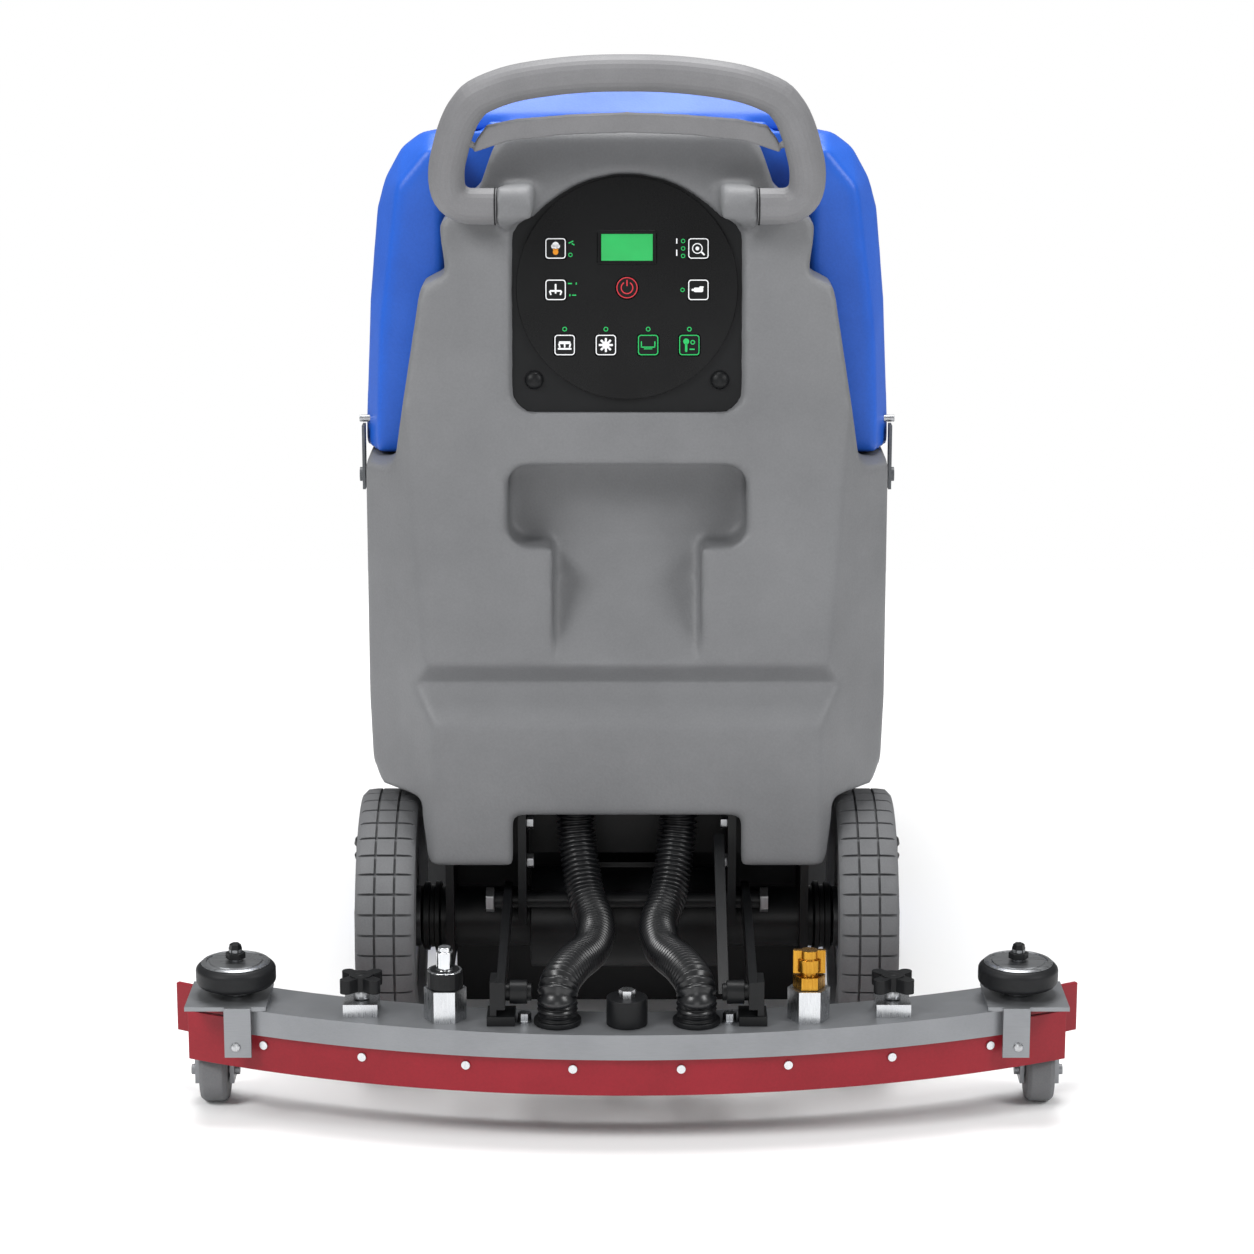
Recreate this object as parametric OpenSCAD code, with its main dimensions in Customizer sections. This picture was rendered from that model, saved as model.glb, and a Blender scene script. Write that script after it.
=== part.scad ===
// Walk-behind floor scrubber-dryer. +Y is the driving direction, +X the operator's right,
// +Z up; the origin is on the floor below the middle of the machine. Millimetres.

/* [Body] */
// Half width of the rotomoulded body
body_hw = 255; // [250:1:262]
// Rear face of the body
body_rear = 430; // [425:1:436]
// Front face of the body
body_front = 615; // [590:1:640]
// Height of the joint between lower body and recovery tank
split_z = 585; // [575:1:592]
// Underside of the body above the chassis
under_z = 262; // [260:1:266]
// Underside of the two rear lobes
lobe_z = 205; // [200:1:220]
// Wall of the moulded tanks
wall = 12; // [8:1:14]

/* [Console] */
// Lean of the control panel from upright
panel_lean = 9.8; // [9:0.1:11]
// Half width of the panel recess
bezel_hw = 110; // [108:1:114]
// Radius of the control disc
disc_r = 105; // [100:1:107]
// Side of a square key
key_s = 20; // [14:1:22]
// Travel of a key
key_travel = 0.8; // [0.4:0.1:1]
// Gap around a key in its pocket
key_gap = 0.3; // [0.2:0.05:0.6]

/* [Handle] */
// Outer diameter of the handle tube
handle_d = 34; // [28:1:36]
// Backward lean of the handle loop
handle_lean = 12; // [8:1:16]
// Thickness of the drive bail
bail_t = 9; // [7:1:11]

/* [Recovery tank] */
// Half width of the recovery tank
tank_hw = 258; // [256:1:262]
// Height of the tank's upper rim
rim_z = 895; // [885:1:900]
// Height of the lid's crown
lid_z = 936; // [926:1:942]
// Gap between tank and console tower
tower_gap = 4; // [3:1:6]

/* [Wheels] */
// Drive wheel diameter
wheel_d = 254; // [240:1:256]
// Drive tyre width
wheel_w = 57; // [50:1:60]
// Middle of a drive wheel from the centre plane
wheel_x = 233.5; // [230:0.5:236]
// Drive axle radius
axle_r = 12; // [9:0.5:14]
// Tread blocks around a drive tyre
treads = 40; // [24:2:44]
// Front caster wheel diameter
fc_d = 100; // [90:1:104]
// Front caster wheel width
fc_w = 30; // [24:1:32]
// Trail of the front casters
fc_trail = 35; // [28:1:38]
// Radial clearance of running fits
fit = 0.06; // [0.03:0.01:0.1]

/* [Squeegee] */
// Outer radius of the curved channel
sq_r = 927; // [900:1:960]
// Half width of the channel
sq_hw = 362; // [355:1:366]
// Half width of the rear blade
rear_hw = 414; // [410:1:424]
// Half width of the front blade
front_hw = 435; // [430:1:445]
// Height of the blade edges above the floor
blade_z = 50; // [50:1:54]
// Height of a blade
blade_h = 48; // [44:1:52]
// Thickness of a blade
blade_t = 5; // [4:0.5:6]
// Depth of the channel from front to rear flange
sq_depth = 65; // [62:1:70]
// Squeegee caster diameter
sc_d = 60; // [50:1:60]
// Squeegee caster wheel width
sc_w = 26; // [20:1:27]
// Bumper roller diameter
roller_d = 75; // [66:1:78]
// Outer diameter of the suction hoses
hose_d = 38; // [34:1:40]

/* [Brush deck] */
// Diameter of a disc brush
brush_d = 272; // [255:1:274]
// Middle of a brush from the centre plane
brush_x = 138; // [137.5:0.5:140]
// Position of the brush deck along the machine
deck_y = 60; // [40:1:80]
// Height of the raised bristles above the floor
brush_z = 30; // [29:1:36]
// Wall of the deck housing
deck_wall = 5; // [4:1:6]

/* [Hidden] */

BODY_GREY = "#747577";
BLUE = "#2a62dd";
BLACK = "#17181a";
STEEL = "#8f9194";
RED = "#8e1f2b";

far = 900;

// drive axle and squeegee datum
axle_y = -341;
axle_z = wheel_d / 2;
sq_cy = 284;
sq_top = blade_z + blade_h + 12;
plate_t = 4;
chan_h = 24;

// panel frame: origin in the middle of the leaning face, z outward, y up the face
panel_y = -377.2;
panel_z = 760;
pocket_d = 14;
bezel_t = 6;
disc_t = 5;
key_h = 4.5;
key_x = [-67.5, -67.5, 67.5, 67.5, -59, -20, 20, 59];
key_y = [37, -2, 37, -2, -54, -54, -54, -54];
power_r = 10.5;
lcd = [56, 32];
lcd_y = 38;
window = [49, 25.5];
screw_x = 88;
screw_y = -87;
screw_r = 2.9;

// handle and bail
handle_y = -390;
handle_z = 838;
boss_x = 122;

// ---------- helpers ----------

// smooth chain of points through the given ones, n steps a span
function spline_pt(p, i, t) =
  let (a = p[max(i - 1, 0)], b = p[i], c = p[i + 1], d = p[min(i + 2, len(p) - 1)])
  0.5 * (2 * b + (c - a) * t + (2 * a - 5 * b + 4 * c - d) * t * t
  + (3 * b - a - 3 * c + d) * t * t * t);
function spline(p, n) = [
  for (i = [0 : len(p) - 2], k = [0 : n - 1]) spline_pt(p, i, k / n),
  p[len(p) - 1]];
function unit(v) = v / norm(v);
function tangent(p, i) = unit(p[min(i + 1, len(p) - 1)] - p[max(i - 1, 0)]);

// round tube along the points p; ref is a direction that the path never follows
module sweep(p, r, sides, ref) {
  ring = [for (i = [0 : len(p) - 1])
    let (t = tangent(p, i), u = unit(cross(t, ref)), v = cross(u, t))
    for (k = [0 : sides - 1]) p[i] + r * (cos(360 * k / sides) * u + sin(360 * k / sides) * v)];
  last = (len(p) - 1) * sides;
  polyhedron(ring, concat(
    [[for (k = [sides - 1 : -1 : 0]) k]],
    [for (i = [0 : len(p) - 2], k = [0 : sides - 1])
      let (a = i * sides + k, b = i * sides + (k + 1) % sides) [a, b, b + sides, a + sides]],
    [[for (k = [0 : sides - 1]) last + k]]));
}

// shape mirrored about the centre plane
module both() {
  children();
  mirror([1, 0, 0]) children();
}

// outline given by its right half, mirrored to a whole
function whole(p) = concat(p, [for (i = [len(p) - 1 : -1 : 0]) [-p[i][0], p[i][1]]]);

// front-view outline pushed from y0 to y1
module front_slab(y0, y1) {
  translate([0, y1, 0]) rotate([90, 0, 0]) linear_extrude(y1 - y0) children();
}

// side-view outline (y, z) pushed from x0 to x1
module side_slab(x0, x1) {
  translate([x0, 0, 0]) rotate([90, 0, 90]) linear_extrude(x1 - x0) children();
}

module rounded(sx, sy, r) {
  for (q = [[1, 1], [-1, 1], [-1, -1], [1, -1]])
    translate([q[0] * (sx / 2 - r), q[1] * (sy / 2 - r)]) circle(r);
  square([sx - 2 * r, sy], center = true);
  square([sx, sy - 2 * r], center = true);
}

module on_panel() {
  translate([0, panel_y, panel_z]) rotate([90 - panel_lean, 0, 0]) children();
}

// cylinder along X from x0 to x1 at (y, z)
module xcyl(x0, x1, y, z, r) {
  translate([x0, y, z]) rotate([0, 90, 0]) cylinder(h = x1 - x0, r = r, $fn = 64);
}

module zcyl(x, y, z0, z1, r) {
  translate([x, y, z0]) cylinder(h = z1 - z0, r = r, $fn = 64);
}

// part ring about the squeegee's centre of curvature, cut at half width hw
module arc(r0, r1, z0, z1, hw) {
  a = asin(hw / r1);
  translate([0, sq_cy, 0]) rotate([0, 0, 270 - a])
    rotate_extrude(angle = 2 * a, $fn = 360) translate([r0, z0]) square([r1 - r0, z1 - z0]);
}
// y of the squeegee arc of radius r at x
function arc_y(r, x) = sq_cy - sqrt(r * r - x * x);

module hexagon(across, h) {
  cylinder(h = h, d = across / cos(30), $fn = 6);
}

// ---------- lower body and console ----------

module body_plan() {
  polygon(whole([[185, -body_rear], [body_hw - 3, -345], [body_hw, -300],
    [body_hw, body_front - 125], [body_hw - 28, body_front - 45], [185, body_front - 12],
    [110, body_front]]));
}

module body_side() {
  polygon([[-body_rear, lobe_z], [-body_rear, 346], [-404, 382], [-420, 404], [-401, 622],
    [-398, 640], [-353.5, 896], [-345, 905], [-262, 912], [-252, 904], [-252, split_z],
    [body_front, split_z], [body_front, 345], [body_front - 22, 300], [body_front - 70, under_z],
    [-330, under_z], [-338, lobe_z]]);
}

module body_front_view() {
  polygon(whole([[0, lobe_z], [192, lobe_z], [200, under_z], [body_hw - 18, under_z],
    [body_hw - 5, 290], [body_hw, 420], [body_hw, split_z], [223, split_z + 2], [196, 760],
    [172, 772], [178, 818], [141, 848], [127, 888], [116, 900], [96, 905], [0, 910]]));
}

module handle_boss() {
  hull() {
    translate([boss_x, handle_y, handle_z]) rotate([0, -90, 0])
      cylinder(h = 1, d = handle_d + 3, $fn = 32);
    translate([boss_x - 34, handle_y + 12, handle_z - 3]) rotate([0, -90, 0])
      cylinder(h = 1, d = handle_d + 12, $fn = 32);
    translate([boss_x - 8, handle_y + 38, handle_z - 6]) rotate([0, -90, 0])
      cylinder(h = 14, d = handle_d + 14, $fn = 32);
  }
}

// tool pocket: wide head with a narrower channel that runs out at the waist
pocket_w = 228;
pocket_top = 594;
pocket_low = 516;
channel_w = 142;
module tool_pocket() {
  front_slab(-body_rear - 20, -356) translate([0, (pocket_top + pocket_low) / 2])
    rounded(pocket_w, pocket_top - pocket_low, 20, $fn = 48);
  side_slab(-channel_w / 2, channel_w / 2)
    polygon([[-356, pocket_low + 30], [-356, pocket_low - 4], [-422, 400], [-460, 400],
      [-460, pocket_low + 30]]);
}

bay = [384, 560];
bay_y = 130;
bay_z = under_z + 13;
well_w = body_hw + 20 - 198;
arch_z = 256;
skirt_t = 16;
vac_y = -208;
vac_r = 40;
filler_x = 150;
filler_z = 520;
filler_r = 24;
chamber = [400, 150, 250];

// latch pivot on the flank and the pin that its hook takes
latch_y = -262;
latch_z = 560;
latch_pin_z = 616;
latch_t = 3;
flank_x = max(tank_hw, body_hw + 3) + 0.5;
pin_r = 4;

module solution_tank() {
  color(BODY_GREY) difference() {
    union() {
      intersection() {
        translate([0, 0, lobe_z - 1]) linear_extrude(far) body_plan();
        side_slab(-body_hw - 10, body_hw + 10) body_side();
        front_slab(-body_rear - 10, body_front + 10) body_front_view();
      }
      both() handle_boss();
    }
    // room for the recovery tank beside the tower
    both() translate([172, -303, split_z]) cube([200, 200, far]);
    // arch in the rear skirt and the wheel wells
    translate([-110, -body_rear - 10, lobe_z - 10]) cube([220, 140, arch_z - lobe_z + 10]);
    translate([-186, -body_rear + skirt_t, lobe_z - 10]) cube([372, 120, under_z - lobe_z + 10]);
    both() translate([198, -480, lobe_z - 10]) cube([well_w, 280, under_z + 6 - lobe_z + 10]);
    tool_pocket();
    // panel recess
    on_panel() translate([0, -5, -pocket_d]) linear_extrude(pocket_d + 30) bezel_outline(0);
    // battery bay, open at the top
    translate([-bay[0] / 2, bay_y - bay[1] / 2, bay_z]) cube([bay[0], bay[1], far]);
    zcyl(0, vac_y, bay_z, split_z + 1, vac_r + 4);
    // water chamber with its filler neck
    translate([-chamber[0] / 2, body_front - wall - 18 - chamber[1], bay_z + 20]) cube(chamber);
    translate([filler_x, body_front + 1, filler_z]) rotate([90, 0, 0])
      cylinder(h = 80, r = filler_r, $fn = 64);
    both() xcyl(body_hw - 22, body_hw + 1, latch_y, latch_z, pin_r + fit);
  }
}

module bezel_outline(gap) {
  w = 2 * (bezel_hw - gap);
  h = 226 - 2 * gap;
  r = 22;
  translate([0, -20]) rounded(w, h - 40, r, $fn = 64);
  intersection() {
    translate([0, h / 2 - 70]) square([w, 140], center = true);
    translate([0, h / 2 - 118]) circle(118, $fn = 128);
  }
}

bezel_gap = 0.5;
module console_bezel() {
  color(BLACK) on_panel() difference() {
    translate([0, -5, -pocket_d]) linear_extrude(bezel_t) bezel_outline(bezel_gap);
    for (s = [-1, 1]) translate([s * screw_x, screw_y, -pocket_d - 1])
      cylinder(h = bezel_t + 2, r = screw_r + 0.1, $fn = 48);
  }
}

module key_pocket(i, grow) {
  translate([key_x[i], key_y[i], 0])
    linear_extrude(20) rounded(key_s + 2 * grow, key_s + 2 * grow, 3, $fn = 32);
}

disc_z0 = bezel_t - pocket_d;
disc_z1 = disc_z0 + disc_t;
key_z0 = disc_z0 + 1.2;
module control_disc() {
  color(BLACK) on_panel() difference() {
    union() {
      translate([0, 0, disc_z0]) cylinder(h = disc_t, r = disc_r, $fn = 180);
      translate([0, lcd_y, disc_z1]) linear_extrude(1.2) rounded(lcd[0], lcd[1], 2, $fn = 32);
    }
    for (i = [0 : 7]) translate([0, 0, key_z0 - key_travel - 0.1]) key_pocket(i, key_gap);
    translate([0, 0, key_z0 - key_travel - 0.1])
      cylinder(h = 20, r = power_r + key_gap, $fn = 64);
    translate([0, lcd_y, disc_z1 - 1]) linear_extrude(5) square(window, center = true);
  }
}

module display_screen() {
  color("#16b25b") on_panel() translate([0, lcd_y, disc_z1 - 1])
    linear_extrude(1.8) square([window[0] - 0.4, window[1] - 0.4], center = true);
}

module panel_screws() {
  color(BLACK) on_panel() for (s = [-1, 1]) translate([s * screw_x, screw_y, 0]) {
    // domed head
    translate([0, 0, disc_z0]) rotate_extrude($fn = 48)
      polygon([[0, 0], [9, 0], [9, 1.5], [8, 4], [6, 6], [3, 7.1], [0, 7.5]]);
    translate([0, 0, -pocket_d]) cylinder(h = bezel_t, r = screw_r, $fn = 48);
  }
}

module key(i) {
  color(BLACK) on_panel() intersection() {
    translate([0, 0, key_z0]) key_pocket(i, 0);
    translate([key_x[i] - 20, key_y[i] - 20, key_z0]) cube([40, 40, key_h]);
  }
}
module key_1() key(0);
module key_2() key(1);
module key_3() key(2);
module key_4() key(3);
module key_5() key(4);
module key_6() key(5);
module key_7() key(6);
module key_8() key(7);

module power_button() {
  color("#b3202a") on_panel() translate([0, 0, key_z0]) cylinder(h = key_h, r = power_r, $fn = 64);
}

// ---------- handle and drive bail ----------

// loop seen square on: x, and s up the leaning plane
loop_pts = [[122, 0], [130, 0], [138, 0], [152, 1], [163, 8], [168, 20], [168, 38], [164, 56],
  [160, 70], [154, 85], [147, 96], [138, 105], [118, 114], [96, 120], [62, 125], [30, 127.5],
  [0, 128]];
function in_loop(x, s) = [x, handle_y - s * sin(handle_lean), handle_z + s * cos(handle_lean)];
function loop_path() = concat(
  [for (p = loop_pts) in_loop(p[0], p[1])],
  [for (i = [len(loop_pts) - 2 : -1 : 0]) in_loop(-loop_pts[i][0], loop_pts[i][1])]);
loop_normal = [0, -cos(handle_lean), -sin(handle_lean)];

module handle_loop() {
  color(BODY_GREY) difference() {
    sweep(spline(loop_path(), 3), handle_d / 2, 24, loop_normal);
    both() xcyl(bail_x - 6, bail_pin_x + 1, bail_py, bail_pz, bail_pin_r + fit);
  }
}

// bail: a bow-shaped paddle across the loop, turning on two pins just inside the legs
bail_s = 60;
bail_x = 148;
bail_pin_x = 160;
bail_pin_r = 3.5;
bail_py = handle_y - bail_s * sin(handle_lean);
bail_pz = handle_z + bail_s * cos(handle_lean);
module drive_bail() {
  color(BODY_GREY) {
    translate([0, handle_y, handle_z]) rotate([90 + handle_lean, 0, 0])
      translate([0, 0, -bail_t / 2]) linear_extrude(bail_t)
        polygon(whole([[0, 72], [60, 70], [110, 64], [bail_x - 5, 53], [bail_x - 8, 64],
          [bail_x - 18, 78], [100, 84], [50, 88], [0, 90]]));
    both() xcyl(bail_x - 5, bail_pin_x, bail_py, bail_pz, bail_pin_r);
  }
}

// ---------- chassis, drive and power ----------

rail_x = 126;
rail_w = 48;
rail_h = 40;
pivot_y = -392;
pivot_z = 160;
pivot_r = 8;
strap_x = 98;
strap_t = 8;
hanger_x = 170;
hanger_t = 8;
axle_tube_r = 30;
caster_x = 150;
caster_y = 430;
stem_r = 9;
post_r = 12;
fork_top = under_z - rail_h - 6;
bumper_y = 643;

module chassis_frame() {
  color("#202226") difference() {
    union() {
      both() {
        translate([rail_x, -330, under_z - rail_h]) cube([rail_w, bumper_y - 20 + 330, rail_h]);
        // axle hanger
        translate([hanger_x, axle_y - 45, axle_z - 37])
          cube([hanger_t, 90, under_z - axle_z + 37]);
        // caster mounting plate
        translate([caster_x - 45, caster_y - 50, fork_top]) cube([90, 100, 6]);
        // straps that carry the squeegee pivot
        side_slab(strap_x, strap_x + strap_t) polygon([[-326, 190], [-326, under_z],
          [pivot_y - 18, under_z], [pivot_y - 18, pivot_z - 20], [pivot_y + 18, pivot_z - 20],
          [pivot_y + 18, 190]]);
      }
      // rear cross panel and cross members
      translate([-170, -332, 190]) cube([340, 8, under_z - 190]);
      for (y = [deck_y - 15, 300, 520]) translate([-rail_x - 1, y, under_z - rail_h])
        cube([2 * rail_x + 2, 30, rail_h]);
      // deck guide post
      zcyl(0, deck_y, 88, under_z - 5, post_r);
      // front bumper
      translate([-200, bumper_y - 22, under_z - rail_h - 2]) cube([400, 22, rail_h + 2]);
      // squeegee pivot rod
      xcyl(-arm_x - 14, arm_x + 14, pivot_y, pivot_z, pivot_r);
    }
    both() xcyl(hanger_x - 1, hanger_x + hanger_t + 1, axle_y, axle_z, axle_tube_r);
    both() zcyl(caster_x, caster_y, 200, under_z, stem_r + fit);
  }
}

// rubber flap that hangs from the rails ahead of the axle
module splash_guard() {
  color(BLACK) translate([-rail_x - rail_w, axle_y + 77, 12])
    cube([2 * (rail_x + rail_w), 4, under_z - rail_h - 12]);
}

module transaxle() {
  color("#26282b") {
    xcyl(-95, 95, axle_y, axle_z, 50);
    both() xcyl(94, 197, axle_y, axle_z, axle_tube_r);
    both() xcyl(190, 262, axle_y, axle_z, axle_r);
    translate([-60, axle_y, axle_z]) cube([120, 62, 56]);
  }
}

module batteries() {
  for (sx = [-1, 1], sy = [0, 1])
    color("#1d2024") translate([sx * 93 - 88, -140 + sy * 272, bay_z]) {
      cube([176, 262, 240]);
      for (tx = [28, 148]) translate([tx, 30, 240]) cylinder(h = 16, r = 8, $fn = 32);
      translate([30, 70, 240]) cube([116, 160, 14]);
    }
}

module vacuum_motor() {
  color("#55585c") {
    zcyl(0, vac_y, bay_z, bay_z + 110, vac_r);
    zcyl(0, vac_y, bay_z + 110, bay_z + 180, vac_r - 12);
    zcyl(0, vac_y, bay_z + 180, bay_z + 200, 9);
  }
}

module filler_cap() {
  color(BLACK) translate([filler_x, body_front + 0.3, filler_z]) rotate([-90, 0, 0]) {
    cylinder(h = 16, r = filler_r + 8, $fn = 64);
    for (a = [0 : 30 : 330]) rotate([0, 0, a]) translate([filler_r + 7, 0, 0])
      cylinder(h = 16, r = 3, $fn = 24);
    translate([0, 0, -25.3]) cylinder(h = 26, r = filler_r - fit, $fn = 64);
    translate([-filler_r, -4, 15]) cube([2 * filler_r, 8, 8]);
  }
}

// bolts and nuts of the running gear, and the tilt hinge of the recovery tank
module frame_hardware() {
  color("#a6a8ab") {
    both() {
      // hanger bolts
      for (y = [-32, 32]) translate([160, axle_y + y, 200]) rotate([0, 90, 0]) hexagon(16, 10);
      // strap bolts
      for (z = [200, 240]) translate([strap_x - 7, pivot_y, z]) rotate([0, 90, 0]) hexagon(13, 7);
      // pivot nuts
      translate([arm_x + 14, pivot_y, pivot_z]) rotate([0, 90, 0]) hexagon(22, 8);
      // axle nuts
      translate([262, axle_y, axle_z]) rotate([0, 90, 0]) hexagon(26, 9);
      // ears of the tilt hinge
      translate([ear_x, tilt_y - ear_r, split_z]) cube([ear_t, 2 * ear_r, tilt_z - split_z]);
      xcyl(ear_x, ear_x + ear_t, tilt_y, tilt_z, ear_r);
    }
    xcyl(-ear_x - ear_t, ear_x + ear_t, tilt_y, tilt_z, tilt_r);
  }
}

// ---------- wheels ----------

rim_r = 82;
module rim() {
  color("#33363a") difference() {
    union() {
      xcyl(wheel_x - 22, wheel_x + 22, axle_y, axle_z, rim_r);
      xcyl(wheel_x + 21, wheel_x + 27, axle_y, axle_z, 34);
      xcyl(wheel_x - 30, wheel_x - 21, axle_y, axle_z, 30);
    }
    xcyl(wheel_x - 40, wheel_x + 40, axle_y, axle_z, axle_r + fit);
    difference() {
      xcyl(wheel_x + 8, wheel_x + 40, axle_y, axle_z, rim_r - 10);
      xcyl(wheel_x, wheel_x + 50, axle_y, axle_z, 34);
    }
  }
}

tread_d = 4;
groove_x = 9.5;
module tyre() {
  w = wheel_w / 2;
  color("#5d5f62") translate([wheel_x, axle_y, axle_z]) difference() {
    rotate([0, 90, 0]) rotate_extrude($fn = 180)
      polygon([[rim_r, -w + 6], [rim_r + 8, -w], [axle_z - 6, -w], [axle_z - 1, -w + 5],
        [axle_z, -w + 14], [axle_z, w - 14], [axle_z - 1, w - 5], [axle_z - 6, w],
        [rim_r + 8, w], [rim_r, w - 6]]);
    // two grooves round the tread and cross grooves between them: square blocks
    rotate([0, 90, 0]) for (x = [-groove_x, groove_x]) difference() {
      translate([0, 0, x - 1.2]) cylinder(h = 2.4, r = axle_z + 5, $fn = 180);
      translate([0, 0, x - 3]) cylinder(h = 6, r = axle_z - tread_d, $fn = 180);
    }
    for (i = [0 : treads - 1]) rotate([i * 360 / treads, 0, 0])
      translate([-w - 5, -1.2, axle_z - tread_d]) cube([2 * w + 10, 2.4, tread_d + 5]);
  }
}
module rim_l() mirror([1, 0, 0]) rim();
module rim_right() rim();
module tyre_l() mirror([1, 0, 0]) tyre();
module tyre_r() tyre();

fork_gap = 2;
fc_axle_r = 6;
module fork() {
  leg_x = fc_w / 2 + fork_gap;
  color("#8a8d90") translate([caster_x, caster_y, 0]) {
    zcyl(0, 0, fork_top - 14, fork_top - 0.3, 30);
    zcyl(0, 0, fork_top - 1, under_z - rail_h + 24, stem_r);
    translate([-leg_x - plate_t, -fc_trail - 20, fork_top - 16])
      cube([2 * (leg_x + plate_t), fc_trail + 40, plate_t]);
    for (s = [-1, 1]) translate([s * (leg_x + 2) - 2, 0, 0]) side_slab(0, plate_t)
      polygon([[18, fork_top - 14], [-fc_trail - 18, fork_top - 14],
        [-fc_trail - 16, fc_d / 2 - 12], [-fc_trail + 16, fc_d / 2 - 12]]);
    xcyl(-leg_x - 9, leg_x + 9, -fc_trail, fc_d / 2, fc_axle_r);
  }
}
module caster_fork_l() mirror([1, 0, 0]) fork();
module caster_fork_r() fork();

module front_wheel() {
  color("#4a4c50") translate([caster_x, caster_y - fc_trail, fc_d / 2]) rotate([0, 90, 0])
    rotate_extrude($fn = 120) polygon([[fc_axle_r + fit, -fc_w / 2], [fc_d / 2 - 4, -fc_w / 2],
      [fc_d / 2, -fc_w / 2 + 5], [fc_d / 2, fc_w / 2 - 5], [fc_d / 2 - 4, fc_w / 2],
      [fc_axle_r + fit, fc_w / 2]]);
}
module caster_wheel_l() mirror([1, 0, 0]) front_wheel();
module caster_wheel_r() front_wheel();

// ---------- brush deck ----------

tuft_h = 34;
block_h = 16;
deck_top = brush_z + tuft_h + block_h + 14;
shaft_r = 9;

module deck_plan(grow) {
  hull() for (s = [-1, 1]) translate([s * brush_x, deck_y])
    circle(brush_d / 2 + 4 + grow, $fn = 96);
}

roller_px = 262;
roller_py = deck_y - 120;
post_pin_r = 6;
module brush_deck() {
  color("#2b2d30") difference() {
    union() {
      translate([0, 0, deck_top]) linear_extrude(deck_wall) deck_plan(deck_wall);
      translate([0, 0, brush_z + 22]) linear_extrude(deck_top + 1 - brush_z - 22) difference() {
        deck_plan(deck_wall);
        deck_plan(0);
      }
      // sleeve on the guide post
      zcyl(0, deck_y, deck_top, deck_top + 50, post_r + 8);
      both() {
        hull() {
          zcyl(roller_px, roller_py, deck_top, deck_top + deck_wall, 16);
          zcyl(roller_px - 60, roller_py + 55, deck_top, deck_top + deck_wall, 20);
        }
        zcyl(roller_px, roller_py, deck_top, deck_top + deck_wall + 36, post_pin_r);
      }
    }
    zcyl(0, deck_y, 0, far, post_r + fit);
    both() zcyl(brush_x, deck_y, 0, far, shaft_r + 3);
  }
}

module deck_roller() {
  color("#222427") difference() {
    zcyl(roller_px, roller_py, deck_top + deck_wall + 0.3, deck_top + deck_wall + 32, 28);
    zcyl(roller_px, roller_py, 0, far, post_pin_r + fit);
  }
}
module deck_roller_l() mirror([1, 0, 0]) deck_roller();
module deck_roller_r() deck_roller();

module brush_motors() {
  color("#3c3f43") both() difference() {
    union() {
      zcyl(brush_x, deck_y, deck_top + deck_wall, deck_top + deck_wall + 22, 56);
      zcyl(brush_x, deck_y, deck_top + deck_wall + 22, deck_top + deck_wall + 98, 44);
    }
    zcyl(brush_x, deck_y, 0, deck_top + deck_wall + 40, shaft_r + fit);
  }
}

module brush() {
  color("#2f5fb8") {
    zcyl(brush_x, deck_y, brush_z + tuft_h, brush_z + tuft_h + block_h, brush_d / 2);
    zcyl(brush_x, deck_y, brush_z + tuft_h + block_h - 1, deck_top + deck_wall + 39, shaft_r);
    translate([brush_x, deck_y, brush_z]) difference() {
      cylinder(h = tuft_h + 1, r1 = brush_d / 2, r2 = brush_d / 2 - 4, $fn = 120);
      translate([0, 0, -1]) cylinder(h = tuft_h + 3, r = 55, $fn = 96);
    }
  }
}
module brush_l() mirror([1, 0, 0]) brush();
module brush_r() brush();

// ---------- recovery tank ----------

module tank_outline(drop) {
  hw = tank_hw;
  polygon(whole([[0, split_z + 3], [hw, split_z + 3], [hw, split_z + 22], [hw - 6, 735 - drop],
    [hw - 14, 822 - drop], [hw - 22, 851 - drop], [hw - 38, 880 - drop],
    [hw - 66, rim_z + 6 - drop], [0, rim_z + 6 - drop]]));
}

// outer shape, its top sloping down towards the front
front_drop = 48;
module tank_solid() {
  difference() {
    hull() {
      front_slab(-300, -298) polygon(whole([[0, split_z + 3], [243, split_z + 3], [243, 612],
        [240, 696], [221, 847], [192, 882], [0, 886]]));
      front_slab(-252, -230) tank_outline(0);
      front_slab(440, 460) tank_outline(front_drop);
      front_slab(520, body_front - 30) polygon(whole([[0, split_z + 3],
        [tank_hw - 52, split_z + 3], [tank_hw - 60, 800 - front_drop],
        [tank_hw - 92, 846 - front_drop], [0, 852 - front_drop]]));
    }
    on_rim() translate([-far / 2, -far / 2, rim_z]) cube([far, 2 * far, 200]);
  }
}

mouth = [320, 640];
mouth_y = 118;
tilt_y = 575;
tilt_z = 600;
tilt_r = 6;
ear_x = 62;
ear_t = 12;
ear_r = 12;
lid_len = 690;
lid_w = 372;
lid_rear = mouth_y - lid_len / 2;
lid_pin_y = lid_rear - 5;
lid_pin_z = rim_z + 5;
lug_x = 118;
lid_pin_r = 2.5;
rim_slope = 4;

// frame of the sloping rim, turned about the lid's hinge
module on_rim() {
  translate([0, lid_pin_y, lid_pin_z]) rotate([-rim_slope, 0, 0])
    translate([0, -lid_pin_y, -lid_pin_z]) children();
}

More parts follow.
